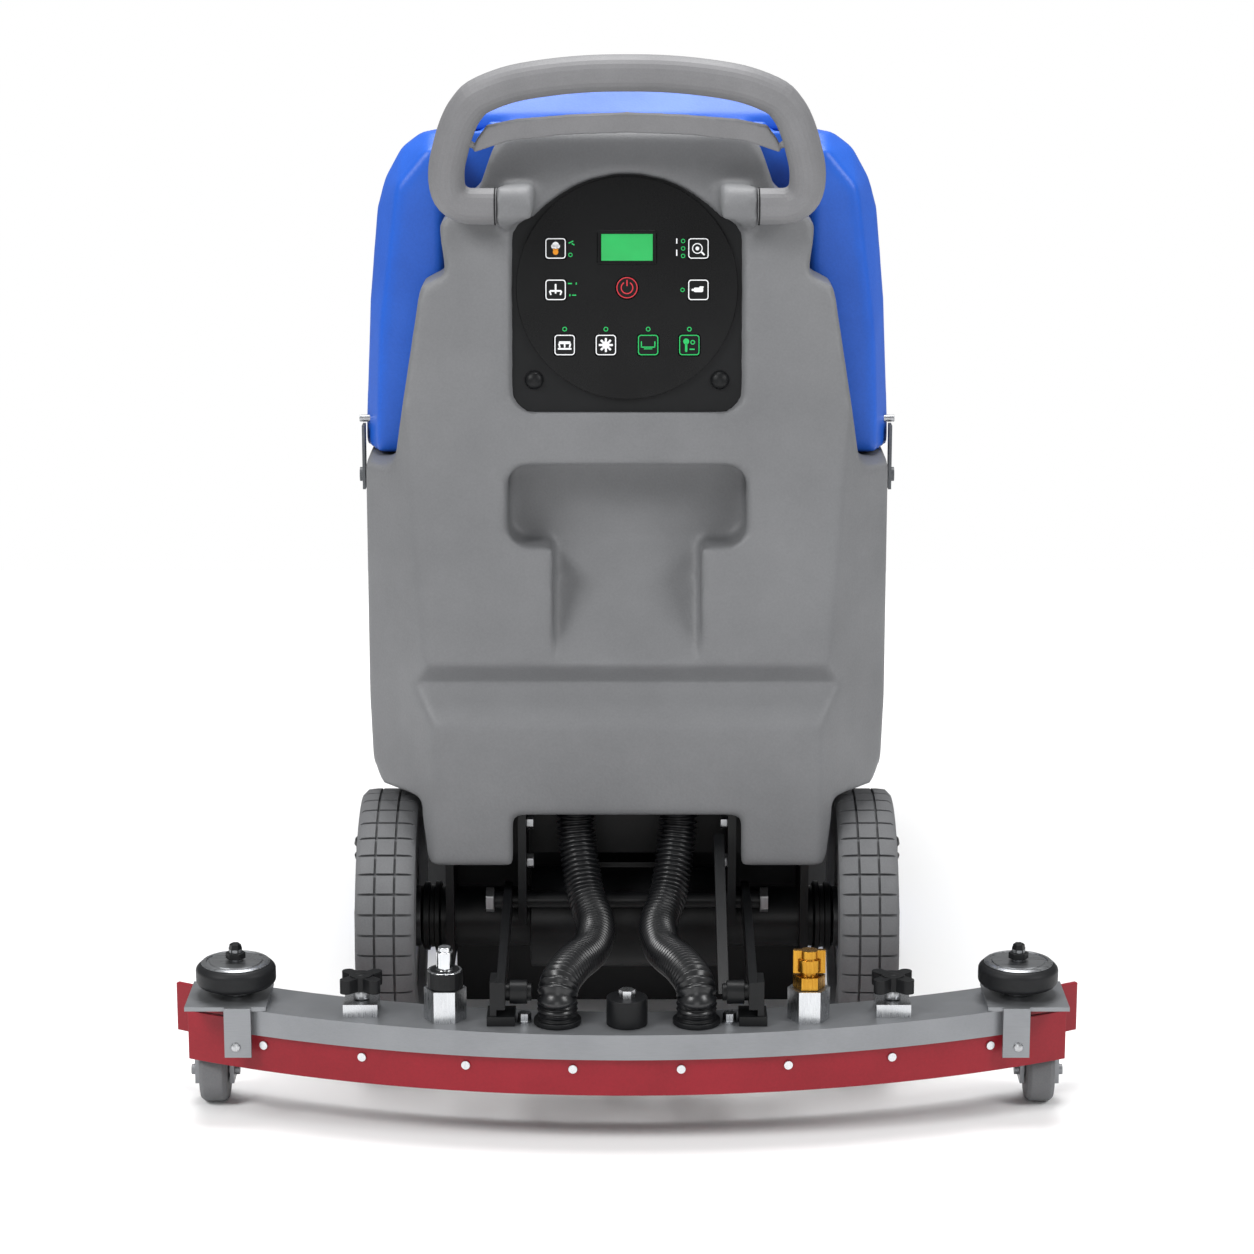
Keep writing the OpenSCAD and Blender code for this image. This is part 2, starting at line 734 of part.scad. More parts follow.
module recovery_tank() {
  color(BLUE) {
    difference() {
      tank_solid();
      // room for the console tower
      translate([-172 - tower_gap, -400, 0])
        cube([344 + 2 * tower_gap, 400 - 252 + tower_gap, far]);
      // water space and mouth
      translate([-225, -252 + tower_gap + wall, split_z + 3 + wall]) cube([450, 700, 200]);
      on_rim() translate([-mouth[0] / 2, mouth_y - mouth[1] / 2, rim_z - 120])
        cube([mouth[0], mouth[1], far]);
      // tilt hinge: bore, slots for the ears, relief under the front edge
      xcyl(-ear_x - 20, ear_x + 20, tilt_y, tilt_z, tilt_r + fit);
      both() translate([ear_x - 1, tilt_y - ear_r - 3, split_z])
        cube([ear_t + 2, ear_r + 28, tilt_z - split_z + ear_r + 3]);
      translate([-far / 2, tilt_y, split_z]) cube([far, 40, 8]);
      both() xcyl(tank_hw - latch_pin_in, tank_hw + 1, latch_y, latch_pin_z, latch_pin_r);
    }
    // lugs of the lid hinge
    both() {
      xcyl(lug_x + 0.3, lug_x + 20, lid_pin_y, lid_pin_z, 5);
      translate([lug_x + 0.3, lid_pin_y - 4, rim_z - 1]) cube([19.7, 8, 6]);
      xcyl(lug_x - 16, lug_x + 2, lid_pin_y, lid_pin_z, lid_pin_r);
    }
  }
}

// pins above the latches, pressed into blind bores in the flanks
latch_pin_in = 14;
latch_pin_r = 3.5;
module latch_pins() {
  color(STEEL) both()
    xcyl(tank_hw - latch_pin_in, flank_x + 5.5, latch_y, latch_pin_z, latch_pin_r);
}

module lid_outline(w, l, r) {
  translate([0, mouth_y]) rounded(w, l, r, $fn = 48);
}

module recovery_lid() {
  color(BLUE) on_rim() difference() {
    union() {
      hull() {
        translate([0, 0, rim_z + 0.3]) linear_extrude(2) lid_outline(lid_w, lid_len, 40);
        translate([0, 0, rim_z + 14]) linear_extrude(2) lid_outline(lid_w - 6, lid_len - 6, 40);
        translate([0, 0, lid_z - 2]) linear_extrude(2) lid_outline(lid_w - 72, lid_len - 70, 40);
      }
      translate([0, 0, rim_z - 12]) linear_extrude(14)
        lid_outline(mouth[0] - 2, mouth[1] - 2, 4);
      both() {
        xcyl(lug_x - 40, lug_x, lid_pin_y, lid_pin_z, 4.5);
        translate([lug_x - 40, lid_pin_y, lid_pin_z - 3]) cube([40, 12, 6]);
      }
    }
    both() xcyl(lug_x - 17, lug_x + 1, lid_pin_y, lid_pin_z, lid_pin_r + fit);
    // hollow underside
    translate([0, 0, rim_z - 20]) linear_extrude(34) lid_outline(mouth[0] - 14, mouth[1] - 14, 4);
    // recessed groove across the crown
    translate([-140, -170, lid_z - 7]) cube([280, 26, 20]);
  }
}

module float_cage() {
  color("#c9ccd0") {
    difference() {
      zcyl(80, 300, split_z + 3 + wall, split_z + 3 + wall + 210, 30);
      zcyl(80, 300, split_z + 3 + wall + 8, split_z + 3 + wall + 202, 27);
      for (a = [0 : 45 : 315]) translate([80, 300, split_z + 60]) rotate([0, 0, a])
        translate([20, -4, 0]) cube([20, 8, 120]);
    }
  }
}

// over-centre latch on the flank
module latch() {
  color(STEEL) {
    translate([flank_x, 0, 0]) side_slab(0, latch_t)
      polygon([[latch_y - 8, latch_z - 14], [latch_y + 8, latch_z - 14],
        [latch_y + 9, latch_pin_z - 6], [latch_y - 9, latch_pin_z - 6]]);
    xcyl(body_hw - 20, flank_x + 1, latch_y, latch_z, pin_r);
    xcyl(flank_x + latch_t, flank_x + latch_t + 3, latch_y, latch_z, pin_r + 3);
  }
}
module tank_latch_l() mirror([1, 0, 0]) latch();
module tank_latch_r() latch();

// ---------- squeegee ----------

arm_x = 116;
arm_t = 8;
rod_z = sq_top + 28;
rod_y = arc_y(sq_r - sq_depth / 2, arm_x);

module squeegee_arm() {
  color("#202226") difference() {
    union() {
      both() {
        side_slab(arm_x - arm_t / 2, arm_x + arm_t / 2) polygon([[pivot_y + 16, pivot_z - 14],
          [pivot_y + 16, pivot_z + 14], [pivot_y - 40, pivot_z + 14], [rod_y - 14, rod_z + 13],
          [rod_y - 14, rod_z - 13], [pivot_y - 40, pivot_z - 14]]);
        // foot on the channel
        translate([arm_x - 13, rod_y - 16, sq_top]) cube([26, 32, 9]);
        translate([arm_x + arm_t / 2, rod_y - 14, sq_top + 8]) cube([6, 28, 34]);
        xcyl(88, arm_x, rod_y, rod_z, 8);
        xcyl(92, 108, rod_y, rod_z, 11);
      }
      // lift bar
      side_slab(port_x + hose_d / 2 + 1, strap_x - 4) polygon([[rod_y - 6, rod_z], [rod_y + 12, rod_z - 4],
        [pivot_y - 10, 226], [pivot_y - 22, 234]]);
    }
    xcyl(-arm_x - 10, arm_x + 10, pivot_y, pivot_z, pivot_r + fit);
  }
}

module squeegee_channel() {
  color(STEEL) difference() {
    union() {
      arc(sq_r - sq_depth, sq_r, sq_top - plate_t, sq_top, sq_hw);
      arc(sq_r - plate_t, sq_r, sq_top - chan_h, sq_top - 1, sq_hw);
      arc(sq_r - sq_depth, sq_r - sq_depth + plate_t, sq_top - chan_h, sq_top - 1, sq_hw);
    }
    for (s = [-1, 1]) zcyl(s * port_x, port_y, sq_top - 20, sq_top + 5, 15);
  }
}

port_x = 64;
port_y = arc_y(sq_r - sq_depth / 2, port_x);
blade_top = blade_z + blade_h;
rear_r = sq_r - plate_t;
front_r = sq_r - sq_depth;

module blade_rear() {
  color(RED) arc(rear_r - blade_t, rear_r, blade_z, blade_top, rear_hw);
}
module blade_front() {
  color(RED) arc(front_r - blade_t, front_r, blade_z, blade_top, front_hw);
}

roller_x = 368;
roller_y = -535;
sc_x = 392;
sc_y = -515;
bracket_z = sq_top;
bolt_r = 6;
sc_axle_r = 5;
module end_brackets() {
  color(STEEL) both() {
    translate([336, -578, bracket_z]) cube([76, 75, plate_t]);
    zcyl(roller_x, roller_y, bracket_z + plate_t, bracket_z + 12, 14);
    zcyl(roller_x, roller_y, bracket_z + plate_t, bracket_z + 47, bolt_r);
    // rear flange
    translate([350, -582, blade_z + 16]) cube([25, plate_t, bracket_z + plate_t - blade_z - 16]);
    // caster fork
    for (s = [-1, 1]) translate([sc_x + s * (sc_w / 2 + 3.5) - 2, sc_y - 12, sc_d / 2 - 10])
      cube([plate_t, 24, bracket_z - sc_d / 2 + 11]);
    xcyl(sc_x - sc_w / 2 - 10, sc_x + sc_w / 2 + 10, sc_y, sc_d / 2, sc_axle_r);
  }
}

module roller() {
  z0 = bracket_z + 12.3;
  color("#222427") translate([roller_x, roller_y, z0]) rotate_extrude($fn = 120)
    polygon([[bolt_r + fit, 0], [roller_d / 2 - 4, 0], [roller_d / 2, 4], [roller_d / 2, 17],
      [roller_d / 2 - 4, 21], [roller_d / 2 - 7.5, 22], [bolt_r + fit, 22]]);
}
module bumper_roller_l() mirror([1, 0, 0]) roller();
module bumper_roller_r() roller();

module sq_caster() {
  color("#77797c") translate([sc_x, sc_y, sc_d / 2]) rotate([0, 90, 0])
    rotate_extrude($fn = 120) polygon([[sc_axle_r + fit, -sc_w / 2], [sc_d / 2 - 3, -sc_w / 2],
      [sc_d / 2, -sc_w / 2 + 4], [sc_d / 2, sc_w / 2 - 4], [sc_d / 2 - 3, sc_w / 2],
      [sc_axle_r + fit, sc_w / 2]]);
}
module squeegee_caster_l() mirror([1, 0, 0]) sq_caster();
module squeegee_caster_r() sq_caster();

module blade_hardware() {
  color("#a6a8ab") {
    // screws through the rear blade
    for (i = [0 : 7]) {
      a = (i - 3.5) * 6.15;
      translate([0, sq_cy, 0]) rotate([0, 0, a]) translate([0, -rear_r, blade_top - 22])
        rotate([90, 0, 0]) cylinder(h = 2, r = 4, $fn = 32);
    }
    // slotted plates below the star knobs
    both() translate([knob_x, knob_y, sq_top]) {
      difference() {
        translate([-16, -18, 0]) cube([32, 36, 12]);
        translate([-17, -14, 4]) cube([34, 28, 4]);
        cylinder(h = 30, r = knob_r + fit, $fn = 48);
      }
    }
    translate([0, arc_y(sq_r - sq_depth / 2, 0), sq_top + 26]) hexagon(13, 7);
    // clamp nuts beside the ports
    both() translate([nut_x, arc_y(sq_r - sq_depth / 2, nut_x), sq_top]) {
      cylinder(h = 2, r = 7, $fn = 48);
      translate([0, 0, 2]) hexagon(11, 7);
    }
  }
  hex_blocks();
}
nut_x = 94.5;

knob_x = 247;
knob_y = arc_y(sq_r - sq_depth / 2, knob_x);
knob_z = sq_top + 22;
knob_r = 4;
module star_knob() {
  color(BLACK) translate([knob_x, knob_y, knob_z]) {
    cylinder(h = 14, r = 11, $fn = 48);
    for (a = [45 : 90 : 315]) rotate([0, 0, a]) {
      translate([0, -6, 0]) cube([18, 12, 13]);
      translate([18, 0, 0]) cylinder(h = 13, r = 6, $fn = 32);
    }
  }
  color(STEEL) translate([knob_x, knob_y, 0]) {
    translate([0, 0, sq_top]) cylinder(h = 26, r = knob_r, $fn = 48);
    translate([0, 0, sq_top + 12.3]) cylinder(h = 10, r = 6, $fn = 48);
  }
}
module star_knob_l() mirror([1, 0, 0]) star_knob();
module star_knob_r() star_knob();

hex_x = 168;
hex_y = arc_y(sq_r - sq_depth / 2, hex_x);
hex_h = 30;
socket_r = 8;
// sockets of the lock pin and the wing
module hex_blocks() {
  color("#c3c6c9") both() translate([hex_x, hex_y, sq_top]) difference() {
    hexagon(34, hex_h);
    translate([0, 0, 6]) cylinder(h = hex_h, r = socket_r + fit, $fn = 48);
  }
}

module lock_pin() {
  color("#b9bcc0") mirror([1, 0, 0]) translate([hex_x, hex_y, sq_top + hex_h]) {
    translate([0, 0, -22]) cylinder(h = 57, r = socket_r, $fn = 48);
    translate([0, 0, 0.3]) cylinder(h = 17, r = 16, $fn = 64);
    translate([0, 0, 34]) cylinder(h = 5, r = socket_r - 2, $fn = 48);
  }
}

module brass_wing() {
  color("#b5862f") translate([hex_x, hex_y, sq_top + hex_h]) {
    translate([0, 0, -22]) cylinder(h = 58, r = socket_r, $fn = 48);
    translate([0, 0, 0.3]) hexagon(26, 12);
    translate([0, 0, 16]) cylinder(h = 12, r = 11, $fn = 48);
    translate([-15, -3, 14]) cube([30, 6, 12]);
    translate([-15, -3, 20]) cube([8, 6, 16]);
    translate([7, -3, 20]) cube([8, 6, 16]);
  }
}

hose_pts = [[-50, -390, 261.2], [-50, -390, 250], [-50, -392, 238], [-47, -402, 212],
  [-40, -426, 176], [-30, -460, 156], [-34, -505, 148], [-50, -560, 150], [-61, -594, 146],
  [-64, -608, 137], [-64, -608, 128], [-64, -608, 118.3]];
module hose() {
  color("#1b1c1e") sweep(spline(hose_pts, 4), hose_d / 2, 12, [1, 0, 0]);
}
module hose_l() hose();
module hose_r() mirror([1, 0, 0]) hose();

module squeegee_ports() {
  color("#1b1c1e") {
    both() difference() {
      union() {
        zcyl(port_x, port_y, sq_top, sq_top + 5, 22);
        zcyl(port_x, port_y, sq_top, sq_top + 8, 18);
      }
      zcyl(port_x, port_y, sq_top - 1, sq_top + 40, 14);
    }
    // middle bush on the channel
    zcyl(0, arc_y(sq_r - sq_depth / 2, 0), sq_top, sq_top + 26, 19);
  }
}

solution_tank();
console_bezel();
control_disc();
display_screen();
panel_screws();
handle_loop();
drive_bail();
chassis_frame();
transaxle();
batteries();
vacuum_motor();
filler_cap();
frame_hardware();
splash_guard();
key_1();
key_2();
key_3();
key_4();
key_5();
key_6();
key_7();
key_8();
power_button();
recovery_tank();
recovery_lid();
float_cage();
latch_pins();
tank_latch_l();
tank_latch_r();
rim_l();
rim_right();  // rim_r
tyre_l();
tyre_r();
caster_fork_l();
caster_fork_r();
caster_wheel_l();
caster_wheel_r();
brush_deck();
brush_motors();
brush_l();
brush_r();
deck_roller_l();
deck_roller_r();
squeegee_arm();
squeegee_channel();
end_brackets();
blade_front();
blade_rear();
blade_hardware();
star_knob_l();
star_knob_r();
lock_pin();
brass_wing();
bumper_roller_l();
bumper_roller_r();
squeegee_caster_l();
squeegee_caster_r();
hose_l();
hose_r();
squeegee_ports();
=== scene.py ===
"""Walk-behind floor scrubber-dryer, seen from the operator's side."""
import math
import bpy
from mathutils import Matrix, Vector


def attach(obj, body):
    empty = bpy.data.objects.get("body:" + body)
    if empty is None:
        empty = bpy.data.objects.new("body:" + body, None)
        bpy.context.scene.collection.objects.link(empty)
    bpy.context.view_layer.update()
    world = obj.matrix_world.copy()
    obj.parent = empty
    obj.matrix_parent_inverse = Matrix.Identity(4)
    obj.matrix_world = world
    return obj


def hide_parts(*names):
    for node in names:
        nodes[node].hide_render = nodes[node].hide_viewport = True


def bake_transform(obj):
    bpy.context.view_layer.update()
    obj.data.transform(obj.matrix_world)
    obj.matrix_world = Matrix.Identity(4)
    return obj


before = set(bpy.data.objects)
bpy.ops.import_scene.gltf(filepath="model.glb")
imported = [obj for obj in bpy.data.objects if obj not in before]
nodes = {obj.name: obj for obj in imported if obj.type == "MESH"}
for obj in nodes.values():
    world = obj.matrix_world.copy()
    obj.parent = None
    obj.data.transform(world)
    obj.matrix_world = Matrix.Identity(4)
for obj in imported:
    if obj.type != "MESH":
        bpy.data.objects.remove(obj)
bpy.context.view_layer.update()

# ---------------------------------------------------------------- studio
# A white sweep under two large soft boxes and a fill, as machines are shot for a catalogue.
# The camera stands three metres behind the handle at chest height and looks slightly down.
bpy.ops.object.select_all(action="DESELECT")


def linear(hex_colour):
    """An sRGB hex colour as linear RGBA."""
    out = []
    for i in (1, 3, 5):
        c = int(hex_colour[i:i + 2], 16) / 255
        out.append(c / 12.92 if c <= 0.04045 else ((c + 0.055) / 1.055) ** 2.4)
    return (*out, 1.0)


def add(mat, kind, inputs=None, **settings):
    """Adds a node with its settings; an input is a number, a colour or another node's socket."""
    n = mat.node_tree.nodes.new(kind)
    for key, value in settings.items():
        setattr(n, key, value)
    for key, value in (inputs or {}).items():
        if isinstance(value, bpy.types.NodeSocket):
            mat.node_tree.links.new(value, n.inputs[key])
        else:
            n.inputs[key].default_value = value
    return n


def blank(name):
    """An empty node material and its output."""
    mat = bpy.data.materials.new(name)
    mat.use_nodes = True
    mat.node_tree.nodes.clear()
    return mat, add(mat, "ShaderNodeOutputMaterial")


def only(ob):
    """Selects this object alone and makes it active."""
    bpy.ops.object.select_all(action="DESELECT")
    ob.select_set(True)
    bpy.context.view_layer.objects.active = ob
    return ob


def paint(ob, mat):
    """Gives a piece one material."""
    ob.data.materials.clear()
    ob.data.materials.append(mat)
    return ob


bpy.ops.mesh.primitive_plane_add(size=6, location=(0, -1.1, 0))
floor = bpy.context.object
floor.name = "studio_floor"
studio_paper, out = blank("matt white studio paper")
paper = add(studio_paper, "ShaderNodeBsdfPrincipled",
            {"Base Color": linear("#fbfbfb"), "Roughness": 0.9, "Specular IOR Level": 0.1})
studio_paper.node_tree.links.new(paper.outputs[0], out.inputs[0])
paint(floor, studio_paper)

# The air looks white behind the machine, but lights it at under a third of that.
world = bpy.data.worlds.new("studio air")
bpy.context.scene.world = world
world.use_nodes = True
air = world.node_tree.nodes["Background"]
air.inputs[0].default_value = (1, 1, 1, 1)
seen = add(world, "ShaderNodeLightPath")
level = add(world, "ShaderNodeMapRange", {"Value": seen.outputs["Is Camera Ray"],
            "To Min": 0.30, "To Max": 1.0})
world.node_tree.links.new(level.outputs[0], air.inputs[1])

for name, place, aim, size, power in (
        ("key softbox", (-2.6, -2.6, 3.2), (0, -0.3, 0.5), 1.4, 112),
        ("right softbox", (2.8, -2.2, 2.6), (0, -0.3, 0.5), 1.4, 66),
        ("top softbox", (0, 0.5, 3.8), (0, 0, 0), 2.2, 150),
        ("low fill", (0, -4.2, 0.9), (0, 0, 0.35), 1.4, 16)):
    bpy.ops.object.light_add(type="AREA", location=place)
    lamp = bpy.context.object
    lamp.name = name
    lamp.data.size = size
    lamp.data.energy = power
    lamp.rotation_euler = (Vector(aim) - Vector(place)).to_track_quat("-Z", "Y").to_euler()

bpy.ops.object.camera_add(location=(0, -3.57, 1.168), rotation=(math.radians(77), 0, 0))
camera = bpy.context.object
camera.data.lens = 97.3
camera.data.sensor_width = 36
bpy.context.scene.camera = camera
bpy.context.scene.view_settings.view_transform = "Standard"

# ---------------------------------------------------------------- grey body
# Lower body and console in one rotomoulded polyethylene shell, with large soft radii.
# The mould is lightly blasted, which leaves a fine pebble grain and a low sheen.


def merged_copy(node, name):
    """A CAD node's shape as a new object with its doubles merged."""
    ob = nodes[node].copy()
    ob.data = nodes[node].data.copy()
    for key in list(ob.keys()):
        del ob[key]
    ob.parent = None
    bpy.context.scene.collection.objects.link(ob)
    ob.name = name
    only(ob)
    bpy.ops.object.mode_set(mode="EDIT")
    bpy.ops.mesh.select_all(action="SELECT")
    bpy.ops.mesh.remove_doubles(threshold=0.00002)
    bpy.ops.mesh.dissolve_limited(angle_limit=math.radians(0.5))
    bpy.ops.object.mode_set(mode="OBJECT")
    return ob


def finish(ob, kind, **settings):
    """Adds a modifier with its settings and applies it."""
    only(ob)
    m = ob.modifiers.new(kind.lower(), kind)
    for key, value in settings.items():
        setattr(m, key, value)
    bpy.ops.object.modifier_apply(modifier=m.name)
    return ob


def soften(ob, voxel, rounds, factor=0.5):
    """Rounds every edge as a mould does: an even skin, relaxed a number of times."""
    finish(ob, "REMESH", mode="VOXEL", voxel_size=voxel, use_smooth_shade=True)
    finish(ob, "SMOOTH", factor=factor, iterations=rounds)
    return ob


def moulded(name, colour, darker, rough, grain_mm, grain_depth_mm, ior=1.5, patch_mm=90,
            gloss=0.5):
    """Moulded plastic: slow drift of colour and sheen, and the grain of the mould's skin."""
    mat, out = blank(name)
    where = add(mat, "ShaderNodeTexCoord").outputs["Object"]
    drift = add(mat, "ShaderNodeTexNoise",
                {"Vector": where, "Scale": 1000 / patch_mm, "Detail": 3.0, "Roughness": 0.6})
    grain = add(mat, "ShaderNodeTexNoise",
                {"Vector": where, "Scale": 1000 / grain_mm, "Detail": 2.0, "Roughness": 0.55})
    both = add(mat, "ShaderNodeMix", {0: 0.35, 2: drift.outputs[0], 3: grain.outputs[0]})
    tint = add(mat, "ShaderNodeValToRGB", {"Fac": both.outputs[0]})
    tint.color_ramp.elements[0].position = 0.32
    tint.color_ramp.elements[0].color = linear(darker)
    tint.color_ramp.elements[1].position = 0.66
    tint.color_ramp.elements[1].color = linear(colour)
    sheen = add(mat, "ShaderNodeMapRange", {"Value": both.outputs[0], "From Min": 0.3,
                "From Max": 0.7, "To Min": rough + 0.06, "To Max": rough - 0.04})
    relief = add(mat, "ShaderNodeBump", {"Height": grain.outputs[0], "Strength": 0.35,
                 "Distance": grain_depth_mm / 1000})
    skin = add(mat, "ShaderNodeBsdfPrincipled",
               {"Base Color": tint.outputs[0], "Roughness": sheen.outputs[0],
                "Normal": relief.outputs[0], "IOR": ior, "Specular IOR Level": gloss})
    mat.node_tree.links.new(skin.outputs[0], out.inputs[0])
    return mat


# Polyethylene, mid grey: blasted mould, so the light breaks up softly over the large faces.
grey_polyethylene = moulded("grey rotomoulded polyethylene", "#727375", "#68696b",
                            0.52, 2.2, 0.5, ior=1.51, gloss=0.4)
body = soften(merged_copy("solution_tank", "body_shell"), 0.0045, 6)
finish(body, "DECIMATE", ratio=0.45)
paint(body, grey_polyethylene)
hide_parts("solution_tank")
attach(body, "base")

# ---------------------------------------------------------------- recovery tank and lid
# Blue polyethylene from the same process, bright and a little glossier than the body.
# The lid is a separate moulding on two hinge lugs; the float cage stands inside the tank.
blue_polyethylene = moulded("blue rotomoulded polyethylene", "#1b5cc6", "#1752b6",
                            0.42, 2.2, 0.35, ior=1.51, gloss=0.4)
tank = soften(merged_copy("recovery_tank", "recovery_shell"), 0.0045, 6)
finish(tank, "DECIMATE", ratio=0.45)
paint(tank, blue_polyethylene)
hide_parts("recovery_tank")
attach(tank, "tank")

lid = soften(merged_copy("recovery_lid", "lid_shell"), 0.004, 4)
paint(lid, blue_polyethylene)
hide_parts("recovery_lid")
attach(lid, "lid")

# Natural polypropylene for the float cage: milky and a little translucent in look.
milky_polypropylene = moulded("natural polypropylene", "#d6d8d6", "#c2c5c4", 0.4, 3.0, 0.1)
paint(nodes["float_cage"], milky_polypropylene)

# ---------------------------------------------------------------- handle and drive bail
# A steel tube loop with a soft-touch grey coat, its ends set into two bosses of the body.
# Across it runs the moulded drive bail on two small pins; pulling it sets the machine off.


def smooth(ob, angle):
    """Smooth shading, with edges above that many degrees kept sharp."""
    only(ob)
    bpy.ops.object.shade_smooth_by_angle(angle=math.radians(angle))
    return ob


def eased(node, mm, angle=30, segments=2):
    """Breaks a CAD node's sharp edges as its maker would, with live modifiers only."""
    ob = nodes[node]
    weld = ob.modifiers.new("weld", "WELD")
    weld.merge_threshold = 0.00002
    flat = ob.modifiers.new("plain faces", "DECIMATE")
    flat.decimate_type = "DISSOLVE"
    flat.angle_limit = math.radians(0.3)
    bevel = ob.modifiers.new("broken edges", "BEVEL")
    bevel.width = mm / 1000
    bevel.segments = segments
    bevel.limit_method = "ANGLE"
    bevel.angle_limit = math.radians(angle)
    bevel.use_clamp_overlap = True
    even = ob.modifiers.new("even shading", "WEIGHTED_NORMAL")
    even.keep_sharp = True
    only(ob)
    bpy.ops.object.shade_smooth()
    return ob


# Soft-touch coat: dull, warm grey, with the slight orange peel of a sprayed coat.
soft_touch = moulded("soft-touch coated tube", "#767678", "#6b6b6d", 0.56, 1.6, 0.12, patch_mm=60)
paint(nodes["handle_loop"], soft_touch)
smooth(nodes["handle_loop"], 40)
bail = soften(merged_copy("drive_bail", "bail_moulding"), 0.0013, 6)
paint(bail, soft_touch)


def open_path(name, count):
    """A curve object with one straight-sided line of that many points."""
    bpy.ops.curve.primitive_nurbs_path_add()
    ob = bpy.context.object
    ob.name = name
    ob.location = (0, 0, 0)
    ob.data.splines.clear()
    line = ob.data.splines.new("POLY")
    line.points.add(count - 1)
    return ob, line


def tube(name, points, radius, mat, body, cyclic=False, sides=4):
    """A round cord along the points; a point may carry its own radius factor as a 4th value."""
    ob, line = open_path(name, len(points))
    for at, pt in zip(line.points, points):
        at.co = (pt[0], pt[1], pt[2], 1)
        at.radius = pt[3] if len(pt) > 3 else 1
    line.use_cyclic_u = cyclic
    curve = ob.data
    curve.dimensions = "3D"
    curve.bevel_depth = radius
    curve.bevel_resolution = sides
    curve.use_fill_caps = not cyclic
    only(ob)
    bpy.ops.object.convert(target="MESH")
    bpy.ops.object.shade_smooth()
    paint(ob, mat)
    if body:
        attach(ob, body)
    return ob


# A thin dark ring runs where the tube enters each boss: painted shade in the gap at the parting
# seam.
seam_painted_shade = moulded("shadowed parting seam", "#202123", "#18191a", 0.7, 1.0, 0.05, gloss=0.2)
seam_r = 0.0172
for sx in (-1, 1):
    ring = [(sx * 0.1235, -0.390 + seam_r * math.cos(math.tau * k / 32),
             0.838 + seam_r * math.sin(math.tau * k / 32)) for k in range(32)]
    tube("handle_seam_shade_%s" % ("l" if sx < 0 else "r"), ring, 0.0007, seam_painted_shade, "base",
         cyclic=True, sides=2)
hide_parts("drive_bail")
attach(bail, "bail")

# ---------------------------------------------------------------- console
# A satin black bezel holds the round keypad disc: a printed polycarbonate sheet over the
# keys, with a lit display window and small lamps. Two dome screws hold the bezel.
# ABS with a satin skin; the sheet over it is smoother, and the keys a shade duller.
black_satin = moulded("satin black ABS", "#121315", "#0d0e0f", 0.42, 1.2, 0.08, ior=1.53,
                      gloss=0.2)
disc_sheet = moulded("printed polycarbonate sheet", "#0a0b0c", "#070708", 0.25, 0.8, 0.01,
                     ior=1.58, gloss=0.12)
key_sheet = moulded("satin printed key", "#0e0f11", "#0a0b0c", 0.34, 0.8, 0.02, ior=1.58,
                    gloss=0.15)
paint(eased("console_bezel", 1.2), black_satin)
paint(eased("control_disc", 0.5), disc_sheet)
paint(eased("panel_screws", 0.3), black_satin)
for i in range(1, 9):
    paint(eased("key_%d" % i, 0.6), key_sheet)
paint(eased("power_button", 0.6), key_sheet)


def lit(name, colour, strength):
    """A lamp or display that glows through its window, a little uneven."""
    mat, out = blank(name)
    where = add(mat, "ShaderNodeTexCoord").outputs["Object"]
    uneven = add(mat, "ShaderNodeTexNoise", {"Vector": where, "Scale": 60.0, "Detail": 1.0})
    tint = add(mat, "ShaderNodeValToRGB", {"Fac": uneven.outputs[0]})
    deep = linear(colour)
    tint.color_ramp.elements[0].color = (deep[0] * 0.8, deep[1] * 0.8, deep[2] * 0.8, 1)
    tint.color_ramp.elements[1].color = deep
    window = add(mat, "ShaderNodeBsdfPrincipled",
                 {"Base Color": tint.outputs[0], "Roughness": 0.25, "IOR": 1.5,
                  "Emission Color": tint.outputs[0], "Emission Strength": strength})
    mat.node_tree.links.new(window.outputs[0], out.inputs[0])
    return mat


paint(nodes["display_screen"], lit("green display backlight", "#10a04c", 0.25))

# Printed signs: white, green and orange ink a tenth of a millimetre proud of the sheet.
panel = Matrix.Translation((0, -0.3772, 0.760)) @ Matrix.Rotation(math.radians(80.2), 4, "X")


def ink(name, colour):
    """Screen ink: matt, faintly uneven in thickness."""
    return moulded(name, colour, colour, 0.5, 0.8, 0.01, patch_mm=8, gloss=0.3)


white_ink = ink("white screen ink", "#e9eaec")
green_ink = ink("green screen ink", "#23b35c")
orange_ink = ink("orange screen ink", "#d98a1f")
red_ink = ink("red screen ink", "#c2303a")
prints = 0


def settle(ob, mat, body, height):
    """Gives a flat print its thickness, lays it on the leaning panel and fixes it there."""
    global prints
    prints += 1
    ob.name = "print_%02d" % prints
    finish(ob, "SOLIDIFY", thickness=0.0003, offset=1)
    ob.data.transform(panel @ Matrix.Translation((0, 0, height)))
    paint(ob, mat)
    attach(ob, body)
    return ob


def frame_print(x, y, w, h, r, line, mat, body, height):
    """A rounded rectangular outline in ink."""
    bpy.ops.mesh.primitive_plane_add(size=1)
    ob = bpy.context.object
    ob.data.transform(Matrix.Translation((x, y, 0)) @ Matrix.Diagonal((w, h, 1, 1)))
    bpy.ops.object.mode_set(mode="EDIT")
    bpy.ops.mesh.select_all(action="SELECT")
    bpy.ops.mesh.bevel(offset=r, segments=5, affect="VERTICES")
    bpy.ops.mesh.inset(thickness=line)
    bpy.ops.mesh.delete(type="FACE")
    bpy.ops.object.mode_set(mode="OBJECT")
    return settle(ob, mat, body, height)


